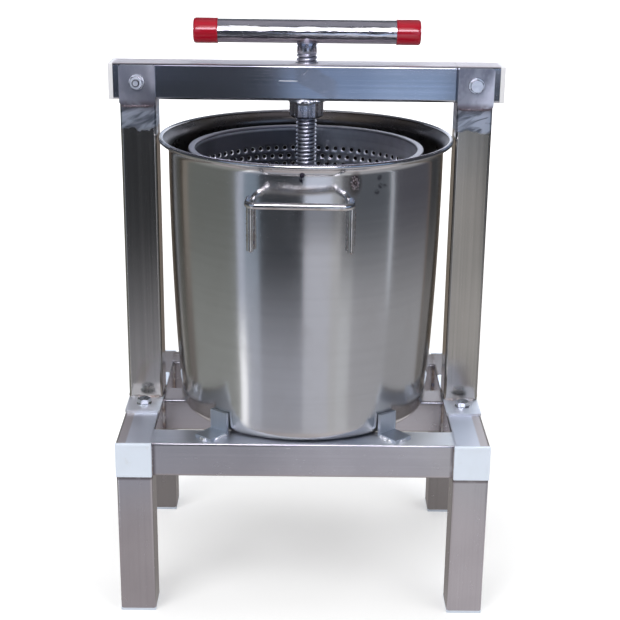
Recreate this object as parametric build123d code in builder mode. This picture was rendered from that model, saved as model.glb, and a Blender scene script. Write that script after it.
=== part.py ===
from build123d import *
import os
from math import cos, radians, sin, sqrt, tan

# Screw press for honey: a perforated basket stands in a steel pot, the pot stands in a frame of
# square tube, and a screw through the frame's cross beam drives a plate down into the basket.
# Millimetres, Z up, the press faces -Y, and the origin is on the floor under the pot's centre.

# Square tube, the same for the whole frame
tube = 38.0
tube_wall = 2.0
tube_corner = 3.0

# Pot
pot_radius = 148.0
pot_taper = 10.0
pot_height = 302.0
pot_wall = 1.5
pot_corner = 12.0
rim_flare = 10.5
rim_bead = 2.5
flare_turn = 75.0
pot_turn = 1.9

# Rod handles on the pot
pot_rod = 7.0
pot_handle_width = 101.0
pot_handle_reach = 30.5
pot_handle_drop = 35.6
pot_handle_leg = 54.8
pot_handle_bend = 9.0
weld_gap = 0.15

# Perforated basket
honey_gap = 15.0
basket_wall = 1.5
basket_floor = 2.0
basket_drop = 12.5
basket_lip = 5.5
lip_thickness = 3.0
hole_diameter = 6.0
holes_per_row = 36
hole_rows = 9
hole_band_top = 27.0
hole_band_bottom = 22.0

# Frame around the pot
rim_clearance = 0.8
rail_margin = 2.0
leg_height = 159.0
foot_thickness = 3.0
rail_cap_thickness = 4.0
beam_cap_thickness = 5.0
cap_corner = 1.0
plug_length = 12.0
plug_clearance = 0.1
upright_length = 338.0
beam_overhang = 6.5
lug_thickness = 4.0
lug_overlap = 5.0
lug_below_top = 1.5
lug_corner = 3.0
flange_thickness = 3.0
flange_reach = 40.5
foot_bolt_reach = 20.0

# Stops that keep the pot in the middle
stop_angle = 39.0
stop_height = 25.0
stop_plate = 4.0
stop_length = 22.0
stop_margin = 2.5
stop_gap = 0.4

# Bolts, washers and nuts
bolt_diameter = 8.0
bolt_clearance = 0.3
hex_width = 13.0
bolt_head = 5.3
hex_nut = 6.5
washer_diameter = 17.0
washer_thickness = 1.6
bolt_end = 3.0

# Screw, its nut and the handle
thread_diameter = 22.2
thread_pitch = 4.233
thread_angle = 14.5
thread_clearance = 0.05
screw_nut_width = 31.5
screw_nut_height = 19.5
beam_hole_clearance = 1.0
neck_relief = 0.5
neck_length = 13.0
handle_diameter = 24.4
handle_wall = 2.0
handle_length = 237.6
handle_gap = 20.4
grip_wall = 1.1
grip_length = 26.0
grip_fit = 0.05
grip_round = 2.0

# Press plate and the swivel under the screw
plate_thickness = 6.0
plate_clearance = 2.5
plate_lift = 28.0
plate_edge = 1.5
socket_diameter = 40.0
socket_height = 30.0
journal_shoulder = 1.0
journal_fit = 0.05
thrust_gap = 0.2
groove_depth = 2.0
groove_width = 7.0
retainer_diameter = 6.0
retainer_gap = 0.3
retainer_fit = 0.05
shoulder_gap = 2.0
rib_thickness = 5.0
rib_reach = 80.0
rib_height = 22.0
rib_end_height = 6.0

# Sizes that follow from the ones above
rim_radius = pot_radius + rim_flare
pot_base_radius = pot_radius - pot_taper
frame_width = 2 * (rim_radius + rim_clearance + tube)
side_x = frame_width / 2 - tube / 2
base_depth = 2 * (pot_base_radius + rail_margin)
cross_y = base_depth / 2 - tube / 2
cross_length = frame_width - 2 * tube
rail_z = foot_thickness + leg_height + tube / 2
rail_top = rail_z + tube / 2
upright_foot = rail_top + flange_thickness
beam_bottom = upright_foot + upright_length
beam_z = beam_bottom + tube / 2
beam_top = beam_bottom + tube
beam_length = frame_width + 2 * beam_overhang
flare_fall = cos(radians(180 - flare_turn))
flare_radius = (rim_flare - rim_bead - flare_fall * pot_wall / 2) / (1 + flare_fall)
rim_rise = (flare_radius + pot_wall / 2) * sin(radians(flare_turn))
wall_height = pot_height - rim_bead - rim_rise
wall_sweep = (wall_height**2 + pot_taper**2) / (2 * pot_taper)
basket_radius = pot_base_radius - pot_wall - honey_gap
basket_foot = rail_top + pot_wall
basket_top = rail_top + pot_height - basket_drop
plate_radius = basket_radius - basket_wall - plate_clearance
plate_bottom = basket_foot + basket_floor + plate_lift
plate_top = plate_bottom + plate_thickness
socket_top = plate_top + socket_height
handle_z = beam_top + handle_gap + handle_diameter / 2
thread_depth = thread_pitch / 2
thread_root = thread_diameter / 2 - thread_depth
neck_radius = thread_diameter / 2 - neck_relief
journal_radius = thread_root - journal_shoulder
bolt_hole = bolt_diameter / 2 + bolt_clearance
foot_bolt_y = tube / 2 + foot_bolt_reach

sides = (("left", -1), ("right", 1))
ends = (("front", -1), ("rear", 1))

os.makedirs("parts", exist_ok=True)


def save(piece, name):
    """Label a finished piece and write it to its own file."""
    piece.part.label = name
    export_step(piece.part, f"parts/{name}.step")


def wall_radius(height):
    """Outer radius of the pot's wall at a height above the pot's foot."""
    drop = wall_height - height
    return pot_radius - wall_sweep + sqrt(wall_sweep**2 - drop**2)


def tube_section():
    """Draw the section of the square tube in the current sketch."""
    RectangleRounded(tube, tube, tube_corner)
    inside = tube - 2 * tube_wall
    RectangleRounded(inside, inside, tube_corner - tube_wall, mode=Mode.SUBTRACT)


def along_x(x, y, z):
    """Plane that faces +X at a point."""
    return Plane(origin=(x, y, z), x_dir=(0, 1, 0), z_dir=(1, 0, 0))


def along_y(x, y, z):
    """Plane that faces +Y at a point."""
    return Plane(origin=(x, y, z), x_dir=(-1, 0, 0), z_dir=(0, 1, 0))


def tube_cap(mouth, thickness):
    """Square cap on a tube's mouth, with its plug inside the tube."""
    plug = tube - 2 * tube_wall - 2 * plug_clearance
    with BuildPart() as cap:
        with BuildSketch(mouth):
            RectangleRounded(tube, tube, cap_corner)
        extrude(amount=thickness)
        with BuildSketch(mouth):
            RectangleRounded(plug, plug, tube_corner - tube_wall)
            Rectangle(plug - 2 * tube_wall, plug - 2 * tube_wall, mode=Mode.SUBTRACT)
        extrude(amount=-plug_length)
    return cap


# Base: side rails from front to back, cross rails between them, legs under the side rails' ends
for side, sign in sides:
    with BuildPart() as side_rail:
        with BuildSketch(along_y(sign * side_x, -base_depth / 2, rail_z)):
            tube_section()
        extrude(amount=base_depth)
        with Locations((sign * side_x, -foot_bolt_y, rail_z), (sign * side_x, foot_bolt_y, rail_z)):
            Cylinder(bolt_hole, 2 * tube, mode=Mode.SUBTRACT)
    save(side_rail, f"side_rail_{side}")

for name, y in (("front", -cross_y), ("middle", 0), ("rear", cross_y)):
    with BuildPart() as cross_rail:
        with BuildSketch(along_x(-cross_length / 2, y, rail_z)):
            tube_section()
        extrude(amount=cross_length)
    save(cross_rail, f"{name}_rail")

for end, direction in ends:
    for side, sign in sides:
        with BuildPart() as leg:
            with BuildSketch(Plane((sign * side_x, direction * cross_y, foot_thickness))):
                tube_section()
            extrude(amount=leg_height)
        save(leg, f"leg_{end}_{side}")

        sole = Plane((sign * side_x, direction * cross_y, foot_thickness), z_dir=(0, 0, -1))
        foot_cap = tube_cap(sole, foot_thickness)
        save(foot_cap, f"foot_cap_{end}_{side}")

        mouth = along_y(sign * side_x, direction * base_depth / 2, rail_z)
        if direction < 0:
            mouth = Plane(origin=mouth.origin, x_dir=mouth.x_dir, z_dir=(0, -1, 0))
        rail_cap = tube_cap(mouth, rail_cap_thickness)
        save(rail_cap, f"rail_cap_{end}_{side}")

# Pot stops: short lengths of angle on the front and rear rails, the upright leg against the pot
stop_turn = radians(stop_angle)
stop_inside = wall_radius(stop_height) + stop_gap
stop_outside = (base_depth / 2 - stop_margin - stop_length / 2 * sin(stop_turn)) / cos(stop_turn)
for end, direction in ends:
    for side, sign in sides:
        outwards = (sign * sin(stop_turn), direction * cos(stop_turn), 0)
        across = (direction * cos(stop_turn), -sign * sin(stop_turn), 0)
        with BuildPart() as stop:
            with BuildSketch(Plane(origin=(0, 0, rail_top), x_dir=outwards, z_dir=across)):
                with BuildLine():
                    Polyline(
                        (stop_inside, 0),
                        (stop_outside, 0),
                        (stop_outside, stop_plate),
                        (stop_inside + stop_plate, stop_plate),
                        (stop_inside + stop_plate, stop_height),
                        (stop_inside, stop_height),
                        close=True,
                    )
                make_face()
            extrude(amount=stop_length / 2, both=True)
        save(stop, f"pot_stop_{end}_{side}")

# Uprights on their foot flanges, each flange bolted through the side rail
flange_length = tube + 2 * flange_reach
for side, sign in sides:
    with BuildPart() as flange:
        with BuildSketch(Plane((sign * side_x, 0, rail_top))):
            RectangleRounded(tube, flange_length, tube_corner)
            with Locations((0, -foot_bolt_y), (0, foot_bolt_y)):
                Circle(bolt_hole, mode=Mode.SUBTRACT)
        extrude(amount=flange_thickness)
    save(flange, f"foot_flange_{side}")

    with BuildPart() as upright:
        with BuildSketch(Plane((sign * side_x, 0, upright_foot))):
            tube_section()
        extrude(amount=upright_length)
    save(upright, f"upright_{side}")

    # Lug plates, welded to the front and the rear of the upright, reach up over the beam
    for end, direction in ends:
        lug_bottom = beam_bottom - lug_overlap
        lug_length = beam_top - lug_below_top - lug_bottom
        face = direction * tube / 2 if direction > 0 else -tube / 2 - lug_thickness
        with BuildPart() as lug:
            with BuildSketch(along_y(sign * side_x, face, lug_bottom + lug_length / 2)):
                RectangleRounded(tube, lug_length, lug_corner)
                hole_drop = beam_z - lug_bottom - lug_length / 2
                with Locations((0, hole_drop)):
                    Circle(bolt_hole, mode=Mode.SUBTRACT)
            extrude(amount=lug_thickness)
        save(lug, f"beam_lug_{end}_{side}")

# Cross beam with its end caps, holes for the beam bolts and a hole for the screw
with BuildPart() as beam:
    with BuildSketch(along_x(-beam_length / 2, 0, beam_z)):
        tube_section()
    extrude(amount=beam_length)
    with Locations((0, 0, beam_z)):
        Cylinder(thread_diameter / 2 + beam_hole_clearance, 2 * tube, mode=Mode.SUBTRACT)
    with Locations((-side_x, 0, beam_z), (side_x, 0, beam_z)):
        Cylinder(bolt_hole, 2 * tube, rotation=(90, 0, 0), mode=Mode.SUBTRACT)
save(beam, "cross_beam")

for side, sign in sides:
    mouth = Plane(origin=(sign * beam_length / 2, 0, beam_z), x_dir=(0, 1, 0), z_dir=(sign, 0, 0))
    beam_cap = tube_cap(mouth, beam_cap_thickness)
    save(beam_cap, f"beam_cap_{side}")

# Hex nut welded under the beam, the fixed thread of the screw
with BuildPart() as screw_nut:
    with BuildSketch(Plane.XY.offset(beam_bottom - screw_nut_height)):
        RegularPolygon(screw_nut_width / 2, 6, major_radius=False)
        Circle(thread_diameter / 2 + thread_clearance, mode=Mode.SUBTRACT)
    extrude(amount=screw_nut_height)
save(screw_nut, "screw_nut")


def hex_bolt(seat, grip):
    """Hex bolt whose head stands on a plane and whose shank goes grip deep behind it."""
    with BuildPart() as bolt:
        with BuildSketch(seat):
            RegularPolygon(hex_width / 2, 6, major_radius=False)
        extrude(amount=bolt_head)
        with BuildSketch(seat):
            Circle(bolt_diameter / 2)
        extrude(amount=-grip)
    return bolt.part


def washer(seat):
    """Round washer that lies on a plane."""
    with BuildPart() as ring:
        with BuildSketch(seat):
            Circle(washer_diameter / 2)
            Circle(bolt_hole, mode=Mode.SUBTRACT)
        extrude(amount=washer_thickness)
    return ring.part


def nut(seat):
    """Hex nut that stands on a plane."""
    with BuildPart() as hex_piece:
        with BuildSketch(seat):
            RegularPolygon(hex_width / 2, 6, major_radius=False)
            Circle(bolt_diameter / 2 + thread_clearance, mode=Mode.SUBTRACT)
        extrude(amount=hex_nut)
    return hex_piece.part


def bolted(head_seat, nut_seat):
    """Bolt, two washers and a nut that hold what lies between two seats facing apart."""
    clamped = (nut_seat.origin - head_seat.origin).length
    head_plane = head_seat.offset(washer_thickness)
    nut_plane = nut_seat.offset(washer_thickness)
    grip = clamped + 2 * washer_thickness + hex_nut + bolt_end
    return hex_bolt(head_plane, grip), [washer(head_seat), washer(nut_seat)], nut(nut_plane)


def save_set(joints, name):
    """Write the bolts, the washers and the nuts of several bolted joints, one file for each kind."""
    kinds = {
        "bolts": [joint[0] for joint in joints],
        "washers": [ring for joint in joints for ring in joint[1]],
        "nuts": [joint[2] for joint in joints],
    }
    for kind, pieces in kinds.items():
        with BuildPart() as group:
            add(pieces)
        save(group, f"{name}_{kind}")


# Foot bolts: down through each flange and its rail
foot_joints = []
for end, direction in ends:
    for side, sign in sides:
        spot = (sign * side_x, direction * foot_bolt_y)
        over = Plane((*spot, upright_foot))
        under = Plane((*spot, rail_top - tube), z_dir=(0, 0, -1))
        foot_joints.append(bolted(over, under))
save_set(foot_joints, "foot")

# Beam bolts: through the lugs and the beam, the left one put in from behind
beam_joints = []
for side, sign in sides:
    lug_face = tube / 2 + lug_thickness
    front_seat = Plane(origin=(sign * side_x, -lug_face, beam_z), x_dir=(1, 0, 0), z_dir=(0, -1, 0))
    rear_seat = Plane(origin=(sign * side_x, lug_face, beam_z), x_dir=(1, 0, 0), z_dir=(0, 1, 0))
    seats = (front_seat, rear_seat) if sign > 0 else (rear_seat, front_seat)
    beam_joints.append(bolted(*seats))
save_set(beam_joints, "beam")

# Pot: a drawn shell that narrows to a rounded foot, saved as side, foot ring and flat floor
with BuildPart() as pot_shell:
    with BuildSketch(Plane.XZ) as outer:
        with BuildLine():
            TangentArc((pot_radius, rail_top + wall_height), (pot_base_radius, rail_top), tangent=(0, -1))
            Polyline(
                (pot_base_radius, rail_top),
                (0, rail_top),
                (0, rail_top + wall_height),
                (pot_radius, rail_top + wall_height),
            )
        make_face()
        fillet(outer.vertices().group_by(Axis.Y)[0].sort_by(Axis.X)[-1], pot_corner)
    revolve(axis=Axis.Z)
    with BuildSketch(Plane.XZ) as inner:
        with BuildLine():
            TangentArc(
                (pot_radius - pot_wall, rail_top + wall_height),
                (wall_radius(pot_wall) - pot_wall, basket_foot),
                tangent=(0, -1),
            )
            Polyline(
                (wall_radius(pot_wall) - pot_wall, basket_foot),
                (0, basket_foot),
                (0, rail_top + wall_height),
                (pot_radius - pot_wall, rail_top + wall_height),
            )
        make_face()
        fillet(inner.vertices().group_by(Axis.Y)[0].sort_by(Axis.X)[-1], pot_corner - pot_wall)
    revolve(axis=Axis.Z, mode=Mode.SUBTRACT)

foot_top = Plane.XY.offset(rail_top + pot_corner)
floor_radius = pot_base_radius - pot_corner
with BuildPart() as pot_side:
    add(pot_shell.part)
    split(bisect_by=foot_top, keep=Keep.TOP)
save(pot_side, "pot_side")

with BuildPart() as pot_foot:
    add(pot_shell.part)
    split(bisect_by=foot_top, keep=Keep.BOTTOM)
    with Locations((0, 0, rail_top)):
        Cylinder(floor_radius, 4 * pot_corner, mode=Mode.SUBTRACT)
save(pot_foot, "pot_foot")

with BuildPart() as pot_floor:
    with BuildSketch(Plane.XY.offset(rail_top)):
        Circle(floor_radius)
    extrude(amount=pot_wall)
save(pot_floor, "pot_floor")

# Pot rim: the wall's edge flared outwards and rolled into a bead
with BuildPart() as pot_rim:
    flare_centre = (pot_radius + flare_radius, rail_top + wall_height)
    flare_start = 180 - flare_turn
    with BuildSketch(Plane.XZ):
        with BuildLine():
            lower = CenterArc(flare_centre, flare_radius, flare_start, flare_turn)
            upper = CenterArc(flare_centre, flare_radius + pot_wall, flare_start, flare_turn)
            Line(lower @ 0, upper @ 0)
            Line(lower @ 1, upper @ 1)
        make_face()
        with Locations((rim_radius - rim_bead, rail_top + wall_height + rim_rise)):
            Circle(rim_bead)
    revolve(axis=Axis.Z)
save(pot_rim, "pot_rim")

# Rod handles: legs welded to the pot's wall, arms that stand off it and a bar to hold
for end, direction in ends:
    turn = radians(pot_turn)
    forwards = (direction * sin(turn), direction * cos(turn), 0)
    handle_plane = Plane(origin=(0, 0, rail_top), x_dir=(cos(turn), -sin(turn), 0), z_dir=(0, 0, 1))
    half = pot_handle_width / 2
    bar_height = pot_height - pot_handle_drop
    leg_radius = pot_radius + pot_rod / 2 + weld_gap
    leg_y = direction * sqrt(leg_radius**2 - half**2)
    bar_y = direction * (pot_radius + pot_handle_reach)
    with BuildPart() as pot_handle:
        with BuildLine(handle_plane) as rod:
            FilletPolyline(
                (-half, leg_y, bar_height - pot_handle_leg),
                (-half, leg_y, bar_height),
                (-half, bar_y, bar_height),
                (half, bar_y, bar_height),
                (half, leg_y, bar_height),
                (half, leg_y, bar_height - pot_handle_leg),
                radius=pot_handle_bend,
            )
        with BuildSketch(Plane(origin=rod.line @ 0, z_dir=rod.line % 0)):
            Circle(pot_rod / 2)
        sweep(path=rod.line)
    save(pot_handle, f"pot_handle_{end}")

# Basket: perforated wall, perforated floor inside its foot, flat lip on its top edge
hole_radius = hole_diameter / 2
wall_top = basket_top - lip_thickness
with BuildPart() as basket:
    with BuildSketch(Plane.XY.offset(basket_foot)):
        Circle(basket_radius)
        Circle(basket_radius - basket_wall, mode=Mode.SUBTRACT)
    extrude(amount=wall_top - basket_foot)
    band = basket_top - hole_band_top - basket_foot - hole_band_bottom
    for row in range(hole_rows):
        row_z = basket_foot + hole_band_bottom + band * row / (hole_rows - 1)
        stagger = 180 / holes_per_row * (row % 2)
        with Locations((0, 0, row_z)):
            with PolarLocations(basket_radius - basket_wall / 2, holes_per_row, start_angle=stagger):
                Cylinder(hole_radius, 4 * basket_wall, rotation=(0, 90, 0), mode=Mode.SUBTRACT)
save(basket, "basket_wall")

with BuildPart() as floor_plate:
    with BuildSketch(Plane.XY.offset(basket_foot)):
        Circle(basket_radius - basket_wall - plug_clearance)
        for ring in range(1, hole_rows // 2 + 1):
            ring_radius = (basket_radius - 4 * hole_radius) * ring / (hole_rows // 2)
            with PolarLocations(ring_radius, 6 * ring):
                Circle(hole_radius, mode=Mode.SUBTRACT)
    extrude(amount=basket_floor)
save(floor_plate, "basket_floor")

with BuildPart() as lip:
    with BuildSketch(Plane.XY.offset(wall_top)):
        Circle(basket_radius + basket_lip)
        Circle(basket_radius - basket_wall, mode=Mode.SUBTRACT)
    extrude(amount=lip_thickness)
    fillet(lip.edges().group_by(Axis.Z)[-1], lip_thickness / 4)
save(lip, "basket_lip")

# Screw: a journal that turns in the press plate's socket, the thread, and a neck under the handle.
# The thread is drawn as ridges at its true pitch, with the section of the real one.
journal_bottom = plate_top + thrust_gap
thread_bottom = socket_top + shoulder_gap
thread_top = beam_top + handle_gap - neck_length
groove_z = plate_top + socket_height / 2
flank = thread_depth * tan(radians(thread_angle))
crest = (thread_pitch - 2 * flank) / 2
ridge_count = int((thread_top - thread_bottom) / thread_pitch)
profile = [
    (0, journal_bottom),
    (journal_radius, journal_bottom),
    (journal_radius, groove_z - groove_width / 2),
    (journal_radius - groove_depth, groove_z - groove_width / 2),
    (journal_radius - groove_depth, groove_z + groove_width / 2),
    (journal_radius, groove_z + groove_width / 2),
    (journal_radius, thread_bottom),
]
for ridge in range(ridge_count):
    start = thread_top - (ridge_count - ridge) * thread_pitch
    profile += [
        (thread_root, start),
        (thread_diameter / 2, start + flank),
        (thread_diameter / 2, start + flank + crest),
        (thread_root, start + 2 * flank + crest),
    ]
profile.insert(7, (thread_root, thread_bottom))
profile += [(thread_root, thread_top), (neck_radius, thread_top), (neck_radius, handle_z), (0, handle_z)]
with BuildPart() as spindle:
    with BuildSketch(Plane.XZ):
        with BuildLine():
            Polyline(*profile, close=True)
        make_face()
    revolve(axis=Axis.Z)
    with Locations((0, 0, handle_z)):
        Cylinder(handle_diameter / 2, handle_length, rotation=(0, 90, 0), mode=Mode.SUBTRACT)
save(spindle, "spindle")

# Handle: a tube welded across the neck, with a push-on grip at each end
with BuildPart() as handle:
    with BuildSketch(along_x(-handle_length / 2, 0, handle_z)):
        Circle(handle_diameter / 2)
        Circle(handle_diameter / 2 - handle_wall, mode=Mode.SUBTRACT)
    extrude(amount=handle_length)
save(handle, "handle_tube")

for side, sign in sides:
    grip_radius = handle_diameter / 2 + grip_fit + grip_wall
    inner_end = sign * (handle_length / 2 + grip_wall - grip_length)
    grip_plane = Plane(origin=(inner_end, 0, handle_z), x_dir=(0, 1, 0), z_dir=(sign, 0, 0))
    with BuildPart() as grip:
        with BuildSketch(grip_plane):
            Circle(grip_radius)
        extrude(amount=grip_length)
        fillet(grip.edges().sort_by(Axis.X)[-1 if sign > 0 else 0], grip_round)
        with BuildSketch(grip_plane):
            Circle(handle_diameter / 2 + grip_fit)
        extrude(amount=grip_length - grip_wall, mode=Mode.SUBTRACT)
    save(grip, f"handle_grip_{side}")

# Press plate with its swivel socket, ribs, and the screws that keep the journal in the socket
with BuildPart() as plate:
    with BuildSketch(Plane.XY.offset(plate_bottom)):
        Circle(plate_radius)
    extrude(amount=plate_thickness)
    chamfer(plate.edges(), plate_edge)
save(plate, "press_plate")

with BuildPart() as socket:
    with BuildSketch(Plane.XY.offset(plate_top)):
        Circle(socket_diameter / 2)
        Circle(journal_radius + journal_fit, mode=Mode.SUBTRACT)
    extrude(amount=socket_height)
    with Locations((0, 0, groove_z)):
        bore_length = 2 * socket_diameter
        Cylinder(retainer_diameter / 2 + retainer_fit, bore_length, rotation=(0, 90, 0), mode=Mode.SUBTRACT)
save(socket, "swivel_socket")

with BuildPart() as retainers:
    tip = journal_radius - groove_depth + retainer_gap
    for side, sign in sides:
        with BuildSketch(Plane(origin=(sign * tip, 0, groove_z), x_dir=(0, 1, 0), z_dir=(sign, 0, 0))):
            Circle(retainer_diameter / 2)
        extrude(amount=socket_diameter / 2 - tip)
save(retainers, "socket_screws")

with BuildPart() as ribs:
    for quarter in range(4):
        turn = radians(45 + 90 * quarter)
        rib_plane = Plane(
            origin=(0, 0, plate_top), x_dir=(cos(turn), sin(turn), 0), z_dir=(sin(turn), -cos(turn), 0)
        )
        root = socket_diameter / 2 + weld_gap
        with BuildSketch(rib_plane):
            with BuildLine():
                Polyline(
                    (root, 0),
                    (root + rib_reach, 0),
                    (root + rib_reach, rib_end_height),
                    (root, rib_height),
                    close=True,
                )
            make_face()
        extrude(amount=rib_thickness / 2, both=True)
save(ribs, "plate_ribs")
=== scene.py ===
import math

import bpy
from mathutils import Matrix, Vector


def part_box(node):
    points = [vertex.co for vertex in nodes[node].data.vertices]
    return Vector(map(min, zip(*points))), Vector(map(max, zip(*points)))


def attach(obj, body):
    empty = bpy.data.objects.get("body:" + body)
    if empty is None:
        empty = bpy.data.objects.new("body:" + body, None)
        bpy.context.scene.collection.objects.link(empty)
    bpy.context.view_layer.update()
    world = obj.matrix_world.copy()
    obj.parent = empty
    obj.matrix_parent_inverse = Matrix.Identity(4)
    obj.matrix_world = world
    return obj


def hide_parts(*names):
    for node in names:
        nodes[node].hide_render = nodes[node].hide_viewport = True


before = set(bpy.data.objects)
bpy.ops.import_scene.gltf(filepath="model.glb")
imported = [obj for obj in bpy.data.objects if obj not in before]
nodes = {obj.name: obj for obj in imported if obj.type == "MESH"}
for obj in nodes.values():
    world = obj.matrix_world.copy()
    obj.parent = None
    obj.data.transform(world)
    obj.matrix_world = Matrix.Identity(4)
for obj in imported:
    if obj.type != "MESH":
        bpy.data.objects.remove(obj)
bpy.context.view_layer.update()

# Base: two side rails, three cross rails and four legs of square stainless tube, cut square and
# welded. The polishing belt left its grain along each tube, and the heat of the welds left a
# brown tint next to the joints.


class Wire:
    """A socket of a node tree. Python's signs on it add Math nodes."""

    def __init__(self, tree, socket=None):
        self.tree = tree
        self.socket = socket

    def node(self, kind, settings=None, sockets=None, out=0):
        """Add a node of a kind, set it, fill or link its sockets, and return one of its outputs."""
        made = self.tree.nodes.new("ShaderNode" + kind)
        for name, value in (settings or {}).items():
            setattr(made, name, value)
        for name, value in (sockets or {}).items():
            socket = made.inputs[name]
            if isinstance(value, Wire):
                self.tree.links.new(value.socket, socket)
            else:
                socket.default_value = (*value, 1.0) if socket.type == "RGBA" else value
        return Wire(self.tree, made.outputs[out] if made.outputs else None)

    def sum_of(self, operation, first, second):
        return self.node("Math", {"operation": operation}, {0: first, 1: second})

    def __add__(self, other):
        return self.sum_of("ADD", self, other)

    def __sub__(self, other):
        return self.sum_of("SUBTRACT", self, other)

    def __rsub__(self, other):
        return self.sum_of("SUBTRACT", other, self)

    def __mul__(self, other):
        return self.sum_of("MULTIPLY", self, other)

    def __abs__(self):
        return self.sum_of("ABSOLUTE", self, 0.0)

    __radd__ = __add__
    __rmul__ = __mul__


def ease(value, low, high):
    """0 below low, 1 above high and a soft step between them."""
    span = {"Value": value, "From Min": low, "From Max": high}
    return value.node("MapRange", {"interpolation_type": "SMOOTHSTEP"}, span)


def fade(value, low, high):
    """1 below low, 0 above high and a soft step between them."""
    return 1.0 - ease(value, low, high)


def blend(share, first, second):
    """First colour where the share is 0, second where it is 1."""
    return share.node("Mix", {"data_type": "RGBA"}, {0: share, 6: first, 7: second}, 2)


def noise(place, scale, detail):
    """Cloudy noise with one scale, or with a scale for each axis."""
    scales = (scale, scale, scale) if isinstance(scale, float) else scale
    spread = place.node("Mapping", None, {"Vector": place, "Scale": scales})
    return place.node("TexNoise", None, {"Vector": spread, "Scale": 1.0, "Detail": detail})


def axis_of(place, axis):
    """One coordinate of a place."""
    return place.node("SeparateXYZ", None, {"Vector": place}, axis)


def from_point(place, point):
    """Distance from a point."""
    return place.node("VectorMath", {"operation": "DISTANCE"}, {0: place, 1: point}, "Value")


def new_finish(name):
    """An empty material and the object's own coordinates in it."""
    material = bpy.data.materials.new(name)
    material.use_nodes = True
    material.node_tree.nodes.clear()
    return material, Wire(material.node_tree).node("TexCoord", out="Object")


def apply_finish(place, height, depth, sockets):
    """The material's shader, with a bump of a height pattern that is this deep."""
    bump = place.node("Bump", None, {"Strength": 1.0, "Distance": depth, "Height": height})
    shader = place.node("BsdfPrincipled", None, {"Normal": bump, **sockets})
    place.node("OutputMaterial", None, {"Surface": shader})


def apply_metal(place, height, depth, colour, roughness):
    """The shader of a bare metal."""
    apply_finish(place, height, depth, {"Base Color": colour, "Metallic": 1.0, "Roughness": roughness})


def belt_grain(place, along):
    """What a polishing belt leaves along an axis: fine hairs, and broader streaks."""
    hair = noise(place, [16.0 if axis == along else 1500.0 for axis in range(3)], 2.0)
    streak = noise(place, [2.5 if axis == along else 330.0 for axis in range(3)], 3.0)
    return hair, streak


def brushed_steel(name, along, dark, light, smooth, rough, joint=None, top=None):
    """Steel with belt grain along an axis. A joint is an axis and where its heat tint begins and ends.
    A top is the height of the top faces. Their front half is rougher and painted lighter, a painted
    sheen, and behind the front rail they are painted darker, a painted shade under the pot."""
    material, place = new_finish(name)
    hair, streak = belt_grain(place, along)
    cloud = noise(place, 11.0, 4.0)
    scuff = noise(place, [60.0 if axis == along else 190.0 for axis in range(3)], 5.0)
    wear = ease(scuff, 0.6, 0.78)
    colour = blend(ease(0.25 * streak + 0.75 * cloud, 0.36, 0.64), dark, light)
    colour = blend(0.35 * wear, colour, light)
    if joint:
        heat = ease(abs(axis_of(place, joint[0])), joint[1], joint[2])
        heat = heat * ease(noise(place, 70.0, 3.0), 0.2, 0.5)
        colour = blend(0.75 * heat, colour, (0.16, 0.13, 0.14))
    roughness = smooth + (rough - smooth) * (0.6 * streak + 0.4 * hair) + 0.06 * wear
    if top:
        upper = ease(axis_of(place, 2), top - 0.0010, top - 0.0002)
        under_pot_shade = ease(axis_of(place, 1), -0.06, -0.03)
        # Painted shade: the tops behind the front rail, under the pot, are painted darker.
        colour = blend(0.7 * upper * under_pot_shade, colour, (0.34, 0.31, 0.30))
        flat = upper * (1.0 - under_pot_shade)
        # Painted sheen: the front half of the tops is painted lighter and bluer, most on the right part of
        # the cross rails, and the outer strip of the side rails is painted brown, a painted reflection. The
        # added roughness makes these faces matt.
        across = axis_of(place, 0)
        lit_right_top = ease(across, 0.05, 0.10) * fade(across, 0.1570, 0.1610)
        ground_and_sheen = blend(lit_right_top, (0.76, 0.79, 0.86), (0.96, 0.98, 1.0))
        colour = blend(0.8 * flat, colour, ground_and_sheen)
        colour = blend(0.7 * flat * ease(abs(across), 0.1855, 0.1875), colour, (0.52, 0.45, 0.41))
        roughness = roughness + flat * (0.16 + 0.12 * lit_right_top)
    apply_metal(place, 0.5 * hair + 0.5 * streak, 0.00002, colour, roughness)
    return material


def dress(material, *names):
    """Give CAD nodes a finish."""
    for name in names:
        nodes[name].data.materials.clear()
        nodes[name].data.materials.append(material)


ends = ("front", "rear")
sides = ("left", "right")
corners = [f"{end}_{side}" for end in ends for side in sides]
rail_low, rail_top = 0.162, 0.200
rail_look = ((0.52, 0.51, 0.53), (0.58, 0.57, 0.59), 0.20, 0.28)
cross_rail_steel = brushed_steel("cross_rail_steel", 0, *rail_look, (0, 0.154, 0.158), rail_top)
dress(cross_rail_steel, "front_rail", "middle_rail", "rear_rail")
side_rail_steel = brushed_steel("side_rail_steel", 1, *rail_look, (1, 0.1370, 0.1392), rail_top)
dress(side_rail_steel, "side_rail_left", "side_rail_right")
# The legs' tint just under the rails is weld heat tint and also a painted shade under the rail caps.
leg_steel = brushed_steel("leg_steel", 2, *rail_look, (2, 0.1560, 0.1590))
dress(leg_steel, *[f"leg_{corner}" for corner in corners])

# Caps: square white plastic stoppers, moulded with rounded edges and a slightly sunk face, and
# pushed into the open ends of the side rails, the legs and the cross beam.


def start_from(add, scale=(1.0, 1.0, 1.0), **settings):
    """Add a primitive with nothing else selected, and settle it at its size and place."""
    bpy.ops.object.select_all(action="DESELECT")
    add(**settings)
    piece = bpy.context.object
    piece.scale = scale
    bpy.ops.object.transform_apply()
    return piece


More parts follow.
